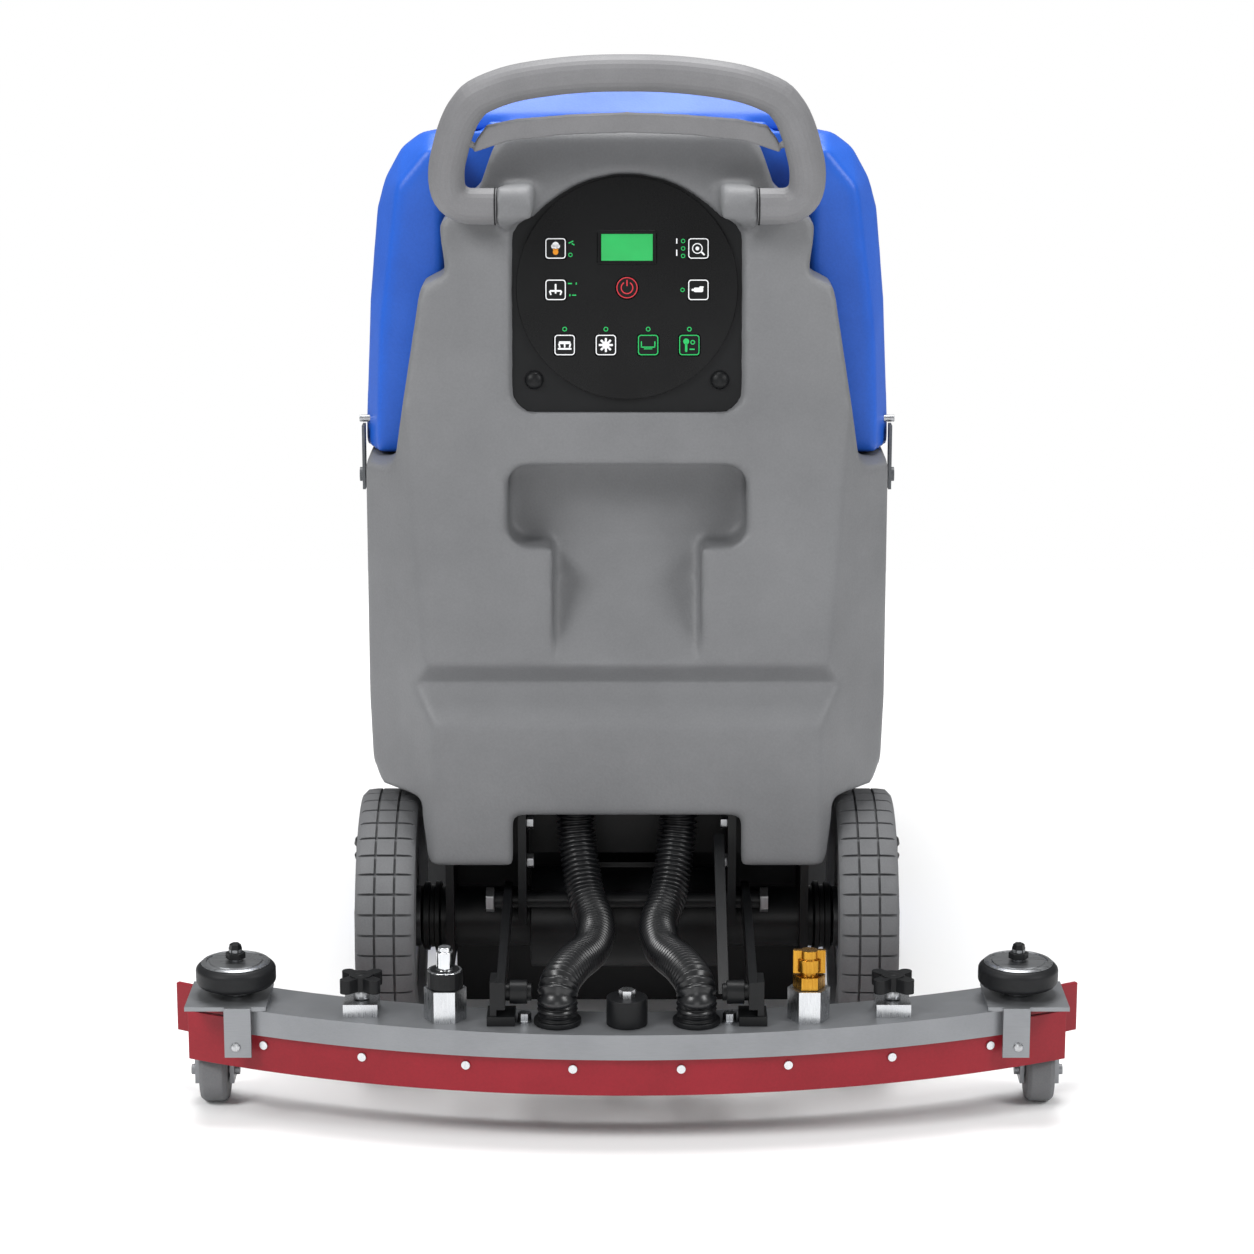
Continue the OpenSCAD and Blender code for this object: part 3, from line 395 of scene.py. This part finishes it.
def dot_print(x, y, r, mat, body, height, line=0, gap=0):
    """A disc in ink, or a ring of that line width, open at the top by a gap in degrees."""
    bpy.ops.mesh.primitive_circle_add(vertices=36, radius=r, fill_type="NGON")
    ob = bpy.context.object
    ob.data.transform(Matrix.Translation((x, y, 0)))
    bpy.ops.object.mode_set(mode="EDIT")
    bpy.ops.mesh.select_all(action="SELECT")
    if line:
        bpy.ops.mesh.inset(thickness=line)
        bpy.ops.mesh.delete(type="FACE")
    bpy.ops.object.mode_set(mode="OBJECT")
    if gap:
        for f in ob.data.polygons:
            c = f.center
            f.select = abs(math.degrees(math.atan2(c.x - x, c.y - y))) < gap
        bpy.ops.object.mode_set(mode="EDIT")
        bpy.ops.mesh.select_mode(type="FACE")
        bpy.ops.mesh.delete(type="FACE")
        bpy.ops.object.mode_set(mode="OBJECT")
    return settle(ob, mat, body, height)


def bar_print(x, y, w, h, turn, mat, body, height):
    """A straight bar in ink with softened corners."""
    bpy.ops.mesh.primitive_plane_add(size=1)
    ob = bpy.context.object
    ob.data.transform(Matrix.Diagonal((w, h, 1, 1)))
    bpy.ops.object.mode_set(mode="EDIT")
    bpy.ops.mesh.select_all(action="SELECT")
    bpy.ops.mesh.bevel(offset=min(w, h) * 0.3, segments=2, affect="VERTICES")
    bpy.ops.object.mode_set(mode="OBJECT")
    ob.data.transform(Matrix.Translation((x, y, 0)) @ Matrix.Rotation(math.radians(turn), 4, "Z"))
    return settle(ob, mat, body, height)


# heights of the ink on a key and on the sheet, behind the panel's face
key_top = -0.0023
sheet_top = -0.0030
# middle of each key on the panel, in millimetres
keys = ((-67.5, 37), (-67.5, -2), (67.5, 37), (67.5, -2), (-59, -54), (-20, -54), (20, -54),
        (59, -54))
for i, (x, y) in enumerate(keys):
    mat = green_ink if i > 5 else white_ink
    frame_print(x / 1000, y / 1000, 0.0192, 0.0192, 0.003, 0.0009, mat, "key%d" % (i + 1),
                key_top)
# each key's sign, as bars and discs: (kind, x, y, size...) in millimetres from its middle
signs = {
    1: [("dot", 0, 3, 3.2, 0), ("dot", -2.2, 2, 2, 0), ("dot", 2.2, 2, 2, 0),
        ("dot", 0, -3.4, 2.6, 1), ("bar", 0, -1, 5, 1.2, 0, 1)],
    2: [("bar", 0, 1, 1.6, 9, 0, 0), ("bar", 0, -1, 11, 1.6, 0, 0), ("bar", -5, -3, 1.4, 4, 20, 0),
        ("bar", 5, -3, 1.4, 4, -20, 0)],
    3: [("ring", -1, 0, 5, 0), ("dot", -1, 0, 1.8, 0), ("bar", 4, -4.5, 5, 1.6, -45, 0)],
    4: [("bar", 0, 0, 9, 4.2, 0, 0), ("bar", -5.4, 0, 2, 2, 0, 0), ("bar", 3, 2.6, 4, 1.4, 0, 0)],
    5: [("bar", 0, -3.6, 13, 1.6, 0, 0), ("bar", 0, 2.2, 11, 2.6, 0, 0),
        ("bar", -5, -0.6, 1.5, 4, 15, 0), ("bar", 0, -0.6, 1.5, 4, 0, 0),
        ("bar", 5, -0.6, 1.5, 4, -15, 0)],
    6: [("dot", 0, 0, 3.6, 0)] + [("bar", 5.2 * math.sin(a), 5.2 * math.cos(a), 2, 3,
        -math.degrees(a), 0) for a in [math.tau * k / 8 for k in range(8)]],
    7: [("bar", 0, -2, 14, 1.1, 0, 2), ("bar", -6.4, 0.5, 1.1, 6, 0, 2),
        ("bar", 6.4, 0.5, 1.1, 6, 0, 2), ("bar", 0, -3.6, 8, 0.9, 0, 2)],
    8: [("dot", -3, 3.4, 2.8, 2), ("bar", -3, -2.5, 2.2, 8, 0, 2), ("bar", 2.6, -4, 5, 1.3, 0, 2),
        ("ring", 3.2, 2.6, 2.2, 2)]}
inks = (white_ink, orange_ink, green_ink)
for i, marks in signs.items():
    x0, y0 = keys[i - 1]
    for kind, dx, dy, *more in marks:
        x, y = (x0 + dx) / 1000, (y0 + dy) / 1000
        if kind == "dot":
            dot_print(x, y, more[0] / 1000, inks[more[1]], "key%d" % i, key_top)
        elif kind == "ring":
            dot_print(x, y, more[0] / 1000, inks[more[1]], "key%d" % i, key_top, line=0.0009)
        else:
            bar_print(x, y, more[0] / 1000, more[1] / 1000, more[2], inks[more[3]],
                      "key%d" % i, key_top)
# lamps above the bottom keys, small marks beside the side keys, the power sign
for x in (-59, -20, 20, 59):
    dot_print(x / 1000, -0.0390, 0.0022, green_ink, "base", sheet_top, line=0.0008)
for x, y in ((-53.5, 31), (53, 44), (53, 37), (53, 30), (52.5, -2)):
    dot_print(x / 1000, y / 1000, 0.0020, green_ink, "base", sheet_top, line=0.0007)
for x, y, w, turn in ((-53, 43, 5, 25), (-51, 41, 3, -30), (-54, 4, 4, 0), (-48, 4, 2, 90),
                      (-54, -7, 2, 90), (-50, -7, 4, 0), (47, 44, 5, 90), (47, 33, 6, 90)):
    bar_print(x / 1000, y / 1000, w / 1000, 0.0011, turn, green_ink if x < 47 else white_ink,
              "base", sheet_top)
dot_print(0, 0, 0.0100, red_ink, "power", key_top, line=0.0009)
dot_print(0, 0, 0.0060, red_ink, "power", key_top, line=0.0010, gap=28)
bar_print(0, 0.0045, 0.0011, 0.0060, 0, red_ink, "power", key_top)

# ---------------------------------------------------------------- running gear
# Frame, axle and squeegee arms are welded steel in black powder coat; bolts are zinc plated.
# Batteries and motors sit out of sight in the body.


def metal(name, colour, darker, rough, streak_mm, along, metallic=1.0):
    """Metal with fine streaks along one direction, from brushing, rolling or turning."""
    mat, out = blank(name)
    where = add(mat, "ShaderNodeTexCoord").outputs["Object"]
    stretch = [1000 / streak_mm] * 3
    stretch[along] *= 0.06
    laid = add(mat, "ShaderNodeMapping", {"Vector": where, "Scale": stretch})
    streak = add(mat, "ShaderNodeTexNoise",
                 {"Vector": laid.outputs[0], "Scale": 1.0, "Detail": 4.0, "Roughness": 0.6})
    cloud = add(mat, "ShaderNodeTexNoise", {"Vector": where, "Scale": 18.0, "Detail": 3.0})
    both = add(mat, "ShaderNodeMix", {0: 0.5, 2: streak.outputs[0], 3: cloud.outputs[0]})
    tint = add(mat, "ShaderNodeValToRGB", {"Fac": both.outputs[0]})
    tint.color_ramp.elements[0].position = 0.35
    tint.color_ramp.elements[0].color = linear(darker)
    tint.color_ramp.elements[1].position = 0.65
    tint.color_ramp.elements[1].color = linear(colour)
    sheen = add(mat, "ShaderNodeMapRange", {"Value": streak.outputs[0], "From Min": 0.3,
                "From Max": 0.7, "To Min": rough - 0.06, "To Max": rough + 0.08})
    relief = add(mat, "ShaderNodeBump", {"Height": streak.outputs[0], "Strength": 0.12,
                 "Distance": 0.0002})
    face = add(mat, "ShaderNodeBsdfPrincipled",
               {"Base Color": tint.outputs[0], "Roughness": sheen.outputs[0],
                "Normal": relief.outputs[0], "Metallic": metallic})
    mat.node_tree.links.new(face.outputs[0], out.inputs[0])
    return mat


# Powder coat is slightly pebbled; zinc is dull and streaked from rolling; battery cases
# are plain polypropylene, and the motors are stoved in grey.
powder_coat = moulded("black powder coat", "#141517", "#0d0e0f", 0.38, 1.8, 0.1, gloss=0.25)
zinc = metal("zinc plated steel", "#b9bbbd", "#98999b", 0.34, 1.5, 2)
battery_case = moulded("battery case polypropylene", "#22252a", "#191b1f", 0.5, 2.0, 0.1)
motor_grey = moulded("grey stoved enamel", "#5a5d61", "#4e5155", 0.38, 2.5, 0.08)
for name in ("chassis_frame", "transaxle", "squeegee_arm"):
    paint(eased(name, 1.2), powder_coat)
paint(eased("frame_hardware", 0.6), zinc)
paint(eased("latch_pins", 0.4), zinc)
paint(eased("batteries", 2.0), battery_case)
paint(eased("vacuum_motor", 1.5), motor_grey)
paint(eased("filler_cap", 1.0), black_satin)
for side in "lr":
    paint(eased("tank_latch_" + side, 0.6), motor_grey)

# ---------------------------------------------------------------- wheels
# Drive wheels: grey non-marking rubber with square tread blocks, on a black pressed rim.
# The front casters have zinc forks and the same grey rubber.
# Rubber is dull and fine-grained; the rims are enamelled, a little glossier.
grey_rubber = moulded("non-marking grey rubber", "#6a6b6d", "#5c5d5f", 0.68, 1.5, 0.2, ior=1.52)
rim_enamel = moulded("black rim enamel", "#26272a", "#1b1c1f", 0.3, 2.0, 0.05)
for side in "lr":
    paint(eased("tyre_" + side, 0.8, angle=40, segments=1), grey_rubber)
    paint(eased("rim_" + side, 1.2), rim_enamel)
    paint(eased("caster_fork_" + side, 0.8), zinc)
    paint(eased("caster_wheel_" + side, 0.8), grey_rubber)
    paint(eased("squeegee_caster_" + side, 0.8), grey_rubber)

# ---------------------------------------------------------------- brush deck
# A pressed steel housing in powder coat over two polypropylene disc brushes with blue
# tufts; the motors stand on it and soft rollers guard its corners.


def lathe(name, profile, at, mat, body, along_x=0, steps=48, sharp=40):
    """A turned piece from a closed (radius, height) outline in mm, stood on a point in mm.
    along_x of 1 or -1 lays its axis along X that way."""
    ob, line = open_path(name, len(profile))
    for pt, (r, h) in zip(line.points, profile):
        pt.co = (r / 1000, 0, h / 1000, 1)
    line.use_cyclic_u = profile[0][0] > 0 and profile[-1][0] > 0
    only(ob)
    bpy.ops.object.convert(target="MESH")
    finish(ob, "SCREW", angle=math.tau, steps=steps, render_steps=steps, use_merge_vertices=True,
           merge_threshold=0.00001)
    if along_x:
        ob.data.transform(Matrix.Rotation(math.radians(90 * along_x), 4, "Y"))
    ob.data.transform(Matrix.Translation([c / 1000 for c in at]))
    bpy.ops.object.mode_set(mode="EDIT")
    bpy.ops.mesh.select_all(action="SELECT")
    bpy.ops.mesh.remove_doubles(threshold=0.00001)
    bpy.ops.mesh.normals_make_consistent(inside=False)
    bpy.ops.object.mode_set(mode="OBJECT")
    paint(smooth(ob, sharp), mat)
    if body:
        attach(ob, body)
    return ob


# Polypropylene for the brush and its tufts, and soft black rubber for the rollers; the black flap
# is painted shade.
brush_blue = moulded("blue polypropylene tufts", "#2d5fc0", "#234c9c", 0.5, 1.6, 0.6)
paint(eased("brush_deck", 1.2), powder_coat)
paint(eased("brush_motors", 1.5), motor_grey)
rubber_and_painted_shade = moulded("black roller rubber and painted shade flap", "#17181a", "#101113", 0.5, 1.6, 0.08, gloss=0.25)
# painted shade: this black flap stands where the floor between the wheels lies in deep shadow
paint(eased("splash_guard", 0.8), rubber_and_painted_shade)
for side in "lr":
    paint(nodes["brush_" + side], brush_blue)
    # tufts: a splayed bundle in each hole of three rings
    sx = -1 if side == "l" else 1
    tufts = []
    for radius, count in ((122, 44), (98, 36), (72, 26)):
        for k in range(count):
            a = math.tau * k / count
            bpy.ops.mesh.primitive_cone_add(vertices=8, radius1=0.0062, radius2=0.0042,
                depth=0.0345, end_fill_type="NGON",
                location=(sx * 0.138 + radius / 1000 * math.cos(a),
                          0.060 + radius / 1000 * math.sin(a), 0.0472),
                rotation=(0.07 * math.sin(a), -0.07 * math.cos(a), 0))
            tufts.append(bpy.context.object)
    bpy.ops.object.select_all(action="DESELECT")
    for t in tufts:
        t.select_set(True)
    bpy.context.view_layer.objects.active = tufts[0]
    bpy.ops.object.join()
    tuft = bpy.context.object
    bpy.ops.object.transform_apply(location=True, rotation=True, scale=True)
    tuft.name = "tufts_" + side
    paint(tuft, brush_blue)
    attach(tuft, "brush_" + side)
    guard = lathe("guard_roller_" + side, [(6.2, 99.5), (26, 99.5), (31, 102), (32, 106),
                  (30, 108.5), (30, 116.5), (32, 119), (31, 123.5), (26, 126), (6.2, 126)],
                  (sx * 262, -60, 0), rubber_and_painted_shade, "droller_" + side)
    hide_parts("deck_roller_" + side)

# ---------------------------------------------------------------- squeegee
# A curved channel of brushed stainless steel carries two red polyurethane blades between
# bent brackets. Star knobs, a pull pin and a brass wing handle clamp it to its arms.
brushed_steel = metal("brushed stainless steel", "#8b8d90", "#7f8184", 0.44, 0.9, 0, 0.75)
red_urethane = moulded("red polyurethane", "#8b1020", "#7b0c1a", 0.4, 2.5, 0.1, gloss=0.3)
aluminium = metal("turned aluminium", "#d3d5d7", "#b4b6b9", 0.28, 0.8, 2)
chrome = metal("polished chrome plate", "#d8dadc", "#b8babd", 0.12, 2.0, 2)
brass = metal("cast and turned brass", "#c9973c", "#9c6f24", 0.26, 1.2, 2)
pressed_steel = metal("pressed zinc disc", "#a4a6a8", "#939598", 0.3, 2.5, 0)
paint(eased("squeegee_channel", 0.8), brushed_steel)
paint(eased("end_brackets", 0.8), brushed_steel)
for name in ("blade_front", "blade_rear"):
    paint(eased(name, 0.6), red_urethane)
paint(eased("blade_hardware", 0.5), aluminium)
paint(eased("lock_pin", 0.8), chrome)


def on_channel(x):
    """The point in mm on the middle line of the curved channel, that far from the centre."""
    return (x, 284 - math.sqrt(894.5 ** 2 - x ** 2), 0)


collar = [(8.3, 140.2), (15.6, 140.2), (16.6, 141.2), (16.6, 156), (15.6, 157.2), (8.3, 157.6)]
lathe("pin_collar", collar, on_channel(-168), black_satin, "pin", steps=20, sharp=10)
paint(eased("brass_wing", 0.8), brass)
paint(eased("squeegee_ports", 1.0), black_satin)
for side in "lr":
    sx = -1 if side == "l" else 1
    paint(eased("star_knob_" + side, 1.5), black_satin)
    stud = on_channel(sx * 247)
    lathe("knob_collar_" + side, [(4.3, 122.5), (7.2, 122.5), (7.6, 123.2), (7.6, 130),
          (7, 131), (4.3, 131)], stud, zinc, "knob_" + side)
    lathe("knob_cap_" + side, [(0, 146.4), (4.6, 146.4), (5.4, 146), (5.4, 145.7), (0, 145.7)],
          stud, black_satin, "knob_" + side)
    # roller: rubber tyre on a pressed disc with a ring groove, on a shouldered bolt
    paint(eased("bumper_roller_" + side, 2.2, segments=3), rubber_and_painted_shade)
    hub = (sx * 368, -535, 0)
    lathe("roller_disc_" + side, [(6.4, 144.2), (6.4, 146.2), (14, 146.4), (24.5, 146),
          (25.4, 145.1), (27, 145.1), (27.8, 145.9), (31, 145.4), (32.4, 144.4), (32.4, 144.2)],
          hub, pressed_steel, "bumper_" + side)
    lathe("roller_spacer_" + side, [(6.2, 114.2), (14.8, 114.2), (15.2, 115), (15.2, 117.6),
          (12, 118.4), (12, 121.6), (6.2, 121.9)], hub, zinc, "squeegee")
    lathe("roller_bolt_" + side, [(0, 162.6), (4, 162.6), (5.4, 161.6), (6.3, 158), (6.3, 154.4),
          (9.4, 153.6), (9.4, 148.2), (6.3, 147.8), (6.3, 146.6), (0, 146.6)], hub, black_satin,
          "squeegee", steps=6, sharp=20)
    # screw that holds the bracket to the channel
    screw = lathe("flange_screw_" + side,
                  [(0, 2.6), (2.2, 2.4), (3.9, 1.6), (4.6, 0), (0, 0)], (0, 0, 0), zinc, None)
    screw.data.transform(Matrix.Translation((sx * 0.3645, -0.5819, 0.0765))
                         @ Matrix.Rotation(math.radians(90), 4, "X"))
    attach(screw, "squeegee")
    # drum and brake ring between the axle tube and the wheel
    lathe("hub_drum_" + side, [(13, 0), (33, 0), (35, 2), (35, 6), (31, 7), (31, 11), (34, 12),
          (34, 17), (31, 18.5), (13, 18.5)], (sx * 184, -341, 127), powder_coat, "base",
          along_x=sx)

# ---------------------------------------------------------------- suction hoses
# Two corrugated hoses carry the dirty water from the squeegee up to the tank. Each is
# extruded vinyl with a moulded helix, pushed over a flanged port and held by a clip.
# Vinyl is glossy black, with a faint die line texture.
vinyl = moulded("black vinyl hose", "#17181a", "#101113", 0.3, 3.0, 0.03, ior=1.53)
route = [(-50, -390, 261), (-50, -390, 250), (-50, -392, 238), (-47, -402, 212),
         (-40, -426, 176), (-30, -460, 156), (-34, -505, 148), (-50, -560, 150),
         (-61, -594, 146), (-64, -608, 137), (-64, -608, 128), (-64, -608, 118.4)]


def along(points, step):
    """Points every step along a smooth path through the given ones."""
    dense = []
    for i in range(len(points) - 1):
        a, b, c, d = (Vector(points[k]) for k in
                      (max(i - 1, 0), i, i + 1, min(i + 2, len(points) - 1)))
        for k in range(40):
            t = k / 40
            dense.append(0.5 * (2 * b + (c - a) * t + (2 * a - 5 * b + 4 * c - d) * t * t
                                + (3 * b - a - 3 * c + d) * t ** 3))
    dense.append(Vector(points[-1]))
    out, left = [dense[0]], step
    for a, b in zip(dense, dense[1:]):
        gap = (b - a).length
        while gap >= left:
            a = a + (b - a) * (left / gap)
            out.append(a)
            gap = (b - a).length
            left = step
        left -= gap
    return out


# a rib's share of the hose's radius at four points in a row, and the step between them
rib = (1.0, 0.97, 0.80, 0.80)
rib_step = 1.3
for side, sx in (("l", 1), ("r", -1)):
    path = along([(sx * x, y, z) for x, y, z in route], rib_step)
    ribs = [(p.x / 1000, p.y / 1000, p.z / 1000, rib[k % 4]) for k, p in enumerate(path)]
    hose = tube("suction_hose_" + side, ribs, 0.0188, vinyl, None, sides=7)
    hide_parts("hose_" + side)
    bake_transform(hose)
